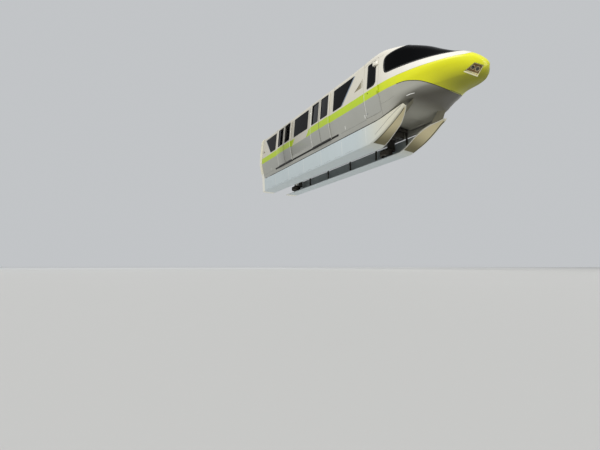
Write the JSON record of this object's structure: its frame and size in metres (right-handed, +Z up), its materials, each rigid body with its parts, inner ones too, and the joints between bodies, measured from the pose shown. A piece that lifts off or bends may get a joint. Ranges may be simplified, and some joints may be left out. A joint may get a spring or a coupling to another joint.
{
  "type": "straddle monorail cab car",
  "caption": "Lead car of a straddle monorail train: cab with long nose and wraparound windshield, saloon with sliding doors, skirts, and swivelling bogies that embrace the beam.",
  "frame": {"origin": "on the running surface that the load wheels roll on, midway between the two bogies and on the car's centre plane", "axes": "+X to the nose, +Y to the car's left, +Z up"},
  "size_m": [12.77, 2.7, 3.242],
  "materials": {
    "body": "gloss warm white paint",
    "nose": "gloss lime yellow paint",
    "lower_body": "satin pale grey paint",
    "skirt": "satin cool white paint",
    "band": "cream gaiter, matte",
    "glass": "dark tinted, gloss",
    "frame": "dark chassis paint, dusty",
    "tyre": "black rubber",
    "motor": "painted grey housing",
    "lamp": "bright reflectors",
    "interior": "pale grey moulding",
    "cushion": "woven blue upholstery"
  },
  "bodies": {
    "car_body": {"roof_shell": "body", "side_wall_right": "body", "side_wall_left": "body", "floor_pan": "interior", "rear_end_wall": "body", "cab_shell": "body", "bow_shell": "lower_body", "windshield": "glass", "nose_cowl": "nose", "headlamps_right": "lamp", "headlamps_left": "lamp", "cab_bulkhead": "interior", "cab_console": "frame", "cab_seat": "cushion", "end_band": "band", "skirt_right": "skirt", "skirt_left": "skirt", "underframe": "frame", "skirt_rack_right": "frame", "skirt_rack_left": "frame", "bench_box_rear": "interior", "bench_box_front": "interior", "bench_right": "cushion", "bench_left": "cushion", "glass_right_middle": "glass", "glass_right_front": "glass", "glass_right_rear": "glass", "glass_left_middle": "glass", "glass_left_front": "glass", "glass_left_rear": "glass"},
    "bogie_rear": {"bogie_frame_rear": "frame", "drive_motor_rear": "motor"},
    "load_wheel_rear": {"load_wheel_rear": "tyre"},
    "guide_wheel_rear_right_a": {"guide_wheel_rear_right_a": "tyre"},
    "guide_wheel_rear_right_b": {"guide_wheel_rear_right_b": "tyre"},
    "stable_wheel_rear_right": {"stable_wheel_rear_right": "tyre"},
    "guide_wheel_rear_left_a": {"guide_wheel_rear_left_a": "tyre"},
    "guide_wheel_rear_left_b": {"guide_wheel_rear_left_b": "tyre"},
    "stable_wheel_rear_left": {"stable_wheel_rear_left": "tyre"},
    "bogie_front": {"bogie_frame_front": "frame", "drive_motor_front": "motor"},
    "load_wheel_front": {"load_wheel_front": "tyre"},
    "guide_wheel_front_right_a": {"guide_wheel_front_right_a": "tyre"},
    "guide_wheel_front_right_b": {"guide_wheel_front_right_b": "tyre"},
    "stable_wheel_front_right": {"stable_wheel_front_right": "tyre"},
    "guide_wheel_front_left_a": {"guide_wheel_front_left_a": "tyre"},
    "guide_wheel_front_left_b": {"guide_wheel_front_left_b": "tyre"},
    "stable_wheel_front_left": {"stable_wheel_front_left": "tyre"},
    "door_right_rear_inner": {"door_right_rear_inner": "body"},
    "door_right_rear_outer": {"door_right_rear_outer": "body"},
    "door_right_front_inner": {"door_right_front_inner": "body"},
    "door_right_front_outer": {"door_right_front_outer": "body"},
    "cab_door_right": {"cab_door_right": "body"},
    "door_left_rear_inner": {"door_left_rear_inner": "body"},
    "door_left_rear_outer": {"door_left_rear_outer": "body"},
    "door_left_front_inner": {"door_left_front_inner": "body"},
    "door_left_front_outer": {"door_left_front_outer": "body"},
    "cab_door_left": {"cab_door_left": "body"}
  },
  "joints": [
    {"name": "bogie_rear_swivel", "type": "hinge", "parent": "car_body", "child": "bogie_rear", "pos_m": [-3.6, 0, 0], "axis": [0, 0, 1], "range_deg": [-4, 4]},
    {"name": "load_wheel_rear_spin", "type": "hinge", "parent": "bogie_rear", "child": "load_wheel_rear", "pos_m": [-3.6, 0, 0.5], "axis": [0, 1, 0], "continuous": true},
    {"name": "guide_wheel_rear_right_a_spin", "type": "hinge", "parent": "bogie_rear", "child": "guide_wheel_rear_right_a", "pos_m": [-4.25, -0.58, -0.24], "axis": [0, 0, 1], "continuous": true},
    {"name": "guide_wheel_rear_right_b_spin", "type": "hinge", "parent": "bogie_rear", "child": "guide_wheel_rear_right_b", "pos_m": [-2.95, -0.58, -0.24], "axis": [0, 0, 1], "continuous": true},
    {"name": "stable_wheel_rear_right_spin", "type": "hinge", "parent": "bogie_rear", "child": "stable_wheel_rear_right", "pos_m": [-3.6, -0.58, -0.74], "axis": [0, 0, 1], "continuous": true},
    {"name": "guide_wheel_rear_left_a_spin", "type": "hinge", "parent": "bogie_rear", "child": "guide_wheel_rear_left_a", "pos_m": [-4.25, 0.58, -0.24], "axis": [0, 0, 1], "continuous": true},
    {"name": "guide_wheel_rear_left_b_spin", "type": "hinge", "parent": "bogie_rear", "child": "guide_wheel_rear_left_b", "pos_m": [-2.95, 0.58, -0.24], "axis": [0, 0, 1], "continuous": true},
    {"name": "stable_wheel_rear_left_spin", "type": "hinge", "parent": "bogie_rear", "child": "stable_wheel_rear_left", "pos_m": [-3.6, 0.58, -0.74], "axis": [0, 0, 1], "continuous": true},
    {"name": "bogie_front_swivel", "type": "hinge", "parent": "car_body", "child": "bogie_front", "pos_m": [3.6, 0, 0], "axis": [0, 0, 1], "range_deg": [-4, 4]},
    {"name": "load_wheel_front_spin", "type": "hinge", "parent": "bogie_front", "child": "load_wheel_front", "pos_m": [3.6, 0, 0.5], "axis": [0, 1, 0], "continuous": true},
    {"name": "guide_wheel_front_right_a_spin", "type": "hinge", "parent": "bogie_front", "child": "guide_wheel_front_right_a", "pos_m": [2.95, -0.58, -0.24], "axis": [0, 0, 1], "continuous": true},
    {"name": "guide_wheel_front_right_b_spin", "type": "hinge", "parent": "bogie_front", "child": "guide_wheel_front_right_b", "pos_m": [4.25, -0.58, -0.24], "axis": [0, 0, 1], "continuous": true},
    {"name": "stable_wheel_front_right_spin", "type": "hinge", "parent": "bogie_front", "child": "stable_wheel_front_right", "pos_m": [3.6, -0.58, -0.74], "axis": [0, 0, 1], "continuous": true},
    {"name": "guide_wheel_front_left_a_spin", "type": "hinge", "parent": "bogie_front", "child": "guide_wheel_front_left_a", "pos_m": [2.95, 0.58, -0.24], "axis": [0, 0, 1], "continuous": true},
    {"name": "guide_wheel_front_left_b_spin", "type": "hinge", "parent": "bogie_front", "child": "guide_wheel_front_left_b", "pos_m": [4.25, 0.58, -0.24], "axis": [0, 0, 1], "continuous": true},
    {"name": "stable_wheel_front_left_spin", "type": "hinge", "parent": "bogie_front", "child": "stable_wheel_front_left", "pos_m": [3.6, 0.58, -0.74], "axis": [0, 0, 1], "continuous": true},
    {"name": "door_right_rear_inner_slide", "type": "slide", "parent": "car_body", "child": "door_right_rear_inner", "axis": [1, 0, 0], "range_m": [0, 0.55]},
    {"name": "door_right_rear_outer_slide", "type": "slide", "parent": "car_body", "child": "door_right_rear_outer", "axis": [-1, 0, 0], "range_m": [0, 0.55]},
    {"name": "door_right_front_inner_slide", "type": "slide", "parent": "car_body", "child": "door_right_front_inner", "axis": [-1, 0, 0], "range_m": [0, 0.55]},
    {"name": "door_right_front_outer_slide", "type": "slide", "parent": "car_body", "child": "door_right_front_outer", "axis": [1, 0, 0], "range_m": [0, 0.55]},
    {"name": "cab_door_right_swing", "type": "hinge", "parent": "car_body", "child": "cab_door_right", "pos_m": [5.172, -1.332, 0.78], "axis": [0, 0, 1], "range_deg": [0, 85]},
    {"name": "door_left_rear_inner_slide", "type": "slide", "parent": "car_body", "child": "door_left_rear_inner", "axis": [1, 0, 0], "range_m": [0, 0.55]},
    {"name": "door_left_rear_outer_slide", "type": "slide", "parent": "car_body", "child": "door_left_rear_outer", "axis": [-1, 0, 0], "range_m": [0, 0.55]},
    {"name": "door_left_front_inner_slide", "type": "slide", "parent": "car_body", "child": "door_left_front_inner", "axis": [-1, 0, 0], "range_m": [0, 0.55]},
    {"name": "door_left_front_outer_slide", "type": "slide", "parent": "car_body", "child": "door_left_front_outer", "axis": [1, 0, 0], "range_m": [0, 0.55]},
    {"name": "cab_door_left_swing", "type": "hinge", "parent": "car_body", "child": "cab_door_left", "pos_m": [5.172, 1.332, 0.78], "axis": [0, 0, -1], "range_deg": [0, 85]}
  ],
  "couplings": [
    {"joint": "door_right_rear_outer_slide", "follows": "door_right_rear_inner_slide", "ratio": 1},
    {"joint": "door_right_front_outer_slide", "follows": "door_right_front_inner_slide", "ratio": 1},
    {"joint": "door_left_rear_outer_slide", "follows": "door_left_rear_inner_slide", "ratio": 1},
    {"joint": "door_left_front_outer_slide", "follows": "door_left_front_inner_slide", "ratio": 1}
  ]
}
